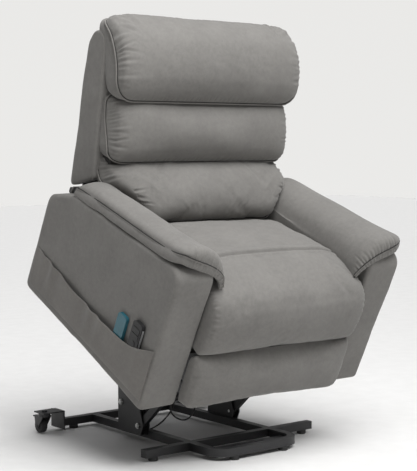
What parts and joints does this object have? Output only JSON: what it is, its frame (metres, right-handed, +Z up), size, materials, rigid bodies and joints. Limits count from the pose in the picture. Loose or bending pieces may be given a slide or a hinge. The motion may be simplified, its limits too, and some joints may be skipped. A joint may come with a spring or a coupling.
{
  "type": "lift recliner chair",
  "caption": "Powered lift recliner raised on a steel base, with padded arms, three back pillows, a fold-out footrest, side pocket and handsets.",
  "frame": {"origin": "On the floor, under the middle of the raised chair's bounding box, on its centre plane", "axes": "+Z up, the chair faces -Y, +X is the sitter's left"},
  "size_m": [0.898, 0.9103, 1.3491],
  "materials": {
    "fabric_main": "matte suede-like upholstery fabric",
    "fabric_trim": "matte fabric of the flat bands and the pocket",
    "black_steel": "satin black powder coat",
    "zinc": "bright zinc plate",
    "black_plastic": "fine-grained black plastic",
    "silver_trim": "satin silver",
    "rubber": "matte black rubber",
    "wood": "raw plywood",
    "teal_plastic": "dark glossy plastic with a teal face"
  },
  "bodies": {
    "base": {"base_rails": "black_steel", "front_bar": "black_steel", "rear_bar": "black_steel", "bow_plate": "black_steel", "end_caps": "black_plastic", "rubber_feet": "rubber", "right_upright": "black_steel", "left_upright": "black_steel", "upright_bolts": "zinc", "actuator_clevis": "black_steel", "caster_brackets": "black_steel"},
    "right_caster": {"right_caster_fork": "black_steel"},
    "left_caster": {"left_caster_fork": "black_steel"},
    "right_wheel": {"right_caster_wheel": "rubber"},
    "left_wheel": {"left_caster_wheel": "rubber"},
    "right_brake": {"right_brake_lever": "black_plastic"},
    "left_brake": {"left_brake_lever": "black_plastic"},
    "lift_arms": {"right_lift_arm": "black_steel", "left_lift_arm": "black_steel", "lift_cross_tube": "black_steel", "clipped_lead": "rubber", "hanging_lead": "rubber"},
    "right_follower": {"right_follower_link": "black_steel"},
    "left_follower": {"left_follower_link": "black_steel"},
    "actuator": {"lift_actuator_body": "black_plastic"},
    "actuator_rod": {"lift_actuator_rod": "silver_trim"},
    "seat": {"seat_frame": "black_steel", "seat_springs": "zinc", "lift_brackets": "black_steel", "bracket_pins": "zinc", "recline_posts": "black_steel", "seat_cushion": "fabric_main", "right_arm": "fabric_main", "left_arm": "fabric_main", "right_arm_pad": "fabric_main", "left_arm_pad": "fabric_main", "side_pocket": "fabric_trim", "rear_skirt": "fabric_trim", "control_box": "black_plastic", "footrest_motor": "black_plastic"},
    "footrest_rod": {"footrest_motor_rod": "silver_trim"},
    "footrest_inner": {"footrest_inner_links": "black_steel"},
    "footrest_outer": {"footrest_outer_links": "black_steel"},
    "footrest": {"footrest_board": "wood", "footrest_cushion": "fabric_main"},
    "backrest": {"back_frame": "wood", "back_brackets": "black_steel", "right_back_wing": "fabric_main", "left_back_wing": "fabric_main", "back_panel": "fabric_trim", "head_pillow": "fabric_main", "middle_pillow": "fabric_main", "lower_pillow": "fabric_main"},
    "handset": {"handset_case": "black_plastic", "handset_trim": "silver_trim"},
    "recline_button": {"recline_key": "black_plastic"},
    "raise_button": {"raise_key": "black_plastic"},
    "round_button": {"round_key": "black_plastic"},
    "massage_control": {"massage_handset": "teal_plastic"}
  },
  "joints": [
    {"name": "lift", "type": "hinge", "parent": "base", "child": "lift_arms", "pos_m": [0, 0.1124, 0.0558], "axis": [1, 0, 0], "range_deg": [0, 28.76]},
    {"name": "seat_tilt", "type": "hinge", "parent": "lift_arms", "child": "seat", "pos_m": [0, -0.1405, 0.23933], "axis": [1, 0, 0], "range_deg": [-54.77, 0]},
    {"name": "right_follower_swing", "type": "hinge", "parent": "base", "child": "right_follower", "pos_m": [-0.1865, 0.2064, 0.119], "axis": [1, 0, 0], "range_deg": [0, 25.7]},
    {"name": "left_follower_swing", "type": "hinge", "parent": "base", "child": "left_follower", "pos_m": [0.1865, 0.2064, 0.119], "axis": [1, 0, 0], "range_deg": [0, 25.7]},
    {"name": "actuator_swing", "type": "hinge", "parent": "base", "child": "actuator", "pos_m": [0, 0.3724, 0.055], "axis": [1, 0, 0], "range_deg": [0, 17.01]},
    {"name": "actuator_stroke", "type": "slide", "parent": "actuator", "child": "actuator_rod", "axis": [0, -0.7893, 0.614], "range_m": [-0.1041, 0]},
    {"name": "back_recline", "type": "hinge", "parent": "seat", "child": "backrest", "pos_m": [0, 0.03335, 0.63565], "axis": [1, 0, 0], "range_deg": [-40, 0]},
    {"name": "footrest_extend", "type": "hinge", "parent": "seat", "child": "footrest_inner", "pos_m": [0, -0.09676, 0.36636], "axis": [1, 0, 0], "range_deg": [-43, 0]},
    {"name": "footrest_unfold", "type": "hinge", "parent": "footrest_inner", "child": "footrest_outer", "pos_m": [0, -0.17896, 0.21779], "axis": [1, 0, 0], "range_deg": [0, 116.91]},
    {"name": "footrest_level", "type": "hinge", "parent": "footrest_outer", "child": "footrest", "pos_m": [0, -0.30552, 0.33129], "axis": [1, 0, 0], "range_deg": [-163.91, 0]},
    {"name": "footrest_motor_stroke", "type": "slide", "parent": "seat", "child": "footrest_rod", "axis": [0, -0.8988, -0.4384], "range_m": [0, 0.0516]},
    {"name": "right_caster_swivel", "type": "hinge", "parent": "base", "child": "right_caster", "pos_m": [-0.372, 0.4044, 0.072], "axis": [0, 0, 1], "continuous": true},
    {"name": "right_wheel_spin", "type": "hinge", "parent": "right_caster", "child": "right_wheel", "pos_m": [-0.372, 0.4264, 0.027], "axis": [1, 0, 0], "continuous": true},
    {"name": "right_brake_press", "type": "hinge", "parent": "right_caster", "child": "right_brake", "pos_m": [-0.372, 0.4324, 0.057], "axis": [1, 0, 0], "range_deg": [-12, 0]},
    {"name": "left_caster_swivel", "type": "hinge", "parent": "base", "child": "left_caster", "pos_m": [0.372, 0.4044, 0.072], "axis": [0, 0, 1], "continuous": true},
    {"name": "left_wheel_spin", "type": "hinge", "parent": "left_caster", "child": "left_wheel", "pos_m": [0.372, 0.4264, 0.027], "axis": [1, 0, 0], "continuous": true},
    {"name": "left_brake_press", "type": "hinge", "parent": "left_caster", "child": "left_brake", "pos_m": [0.372, 0.4324, 0.057], "axis": [1, 0, 0], "range_deg": [-12, 0]},
    {"name": "handset_lift_out", "type": "slide", "parent": "seat", "child": "handset", "axis": [0, -0.4384, 0.8988], "range_m": [0, 0.12]},
    {"name": "massage_control_lift_out", "type": "slide", "parent": "seat", "child": "massage_control", "axis": [0, -0.4384, 0.8988], "range_m": [0, 0.12]},
    {"name": "recline_key_press", "type": "slide", "parent": "handset", "child": "recline_button", "axis": [1, 0, 0], "range_m": [0, 0.001], "stiffness_N_per_m": 400, "springref_m": -0.001},
    {"name": "raise_key_press", "type": "slide", "parent": "handset", "child": "raise_button", "axis": [1, 0, 0], "range_m": [0, 0.001], "stiffness_N_per_m": 400, "springref_m": -0.001},
    {"name": "round_key_press", "type": "slide", "parent": "handset", "child": "round_button", "axis": [1, 0, 0], "range_m": [0, 0.001], "stiffness_N_per_m": 400, "springref_m": -0.001}
  ],
  "couplings": [
    {"joint": "seat_tilt", "follows": "lift", "ratio": -1.904},
    {"joint": "right_follower_swing", "follows": "lift", "ratio": 0.89325},
    {"joint": "left_follower_swing", "follows": "lift", "ratio": 0.89325},
    {"joint": "actuator_swing", "follows": "lift", "ratio": 0.5911},
    {"joint": "actuator_stroke", "follows": "lift", "m_per_rad": -0.20719},
    {"joint": "footrest_unfold", "follows": "footrest_extend", "ratio": -2.7186},
    {"joint": "footrest_level", "follows": "footrest_extend", "ratio": 3.8116},
    {"joint": "footrest_motor_stroke", "follows": "footrest_extend", "m_per_rad": -0.06862}
  ]
}
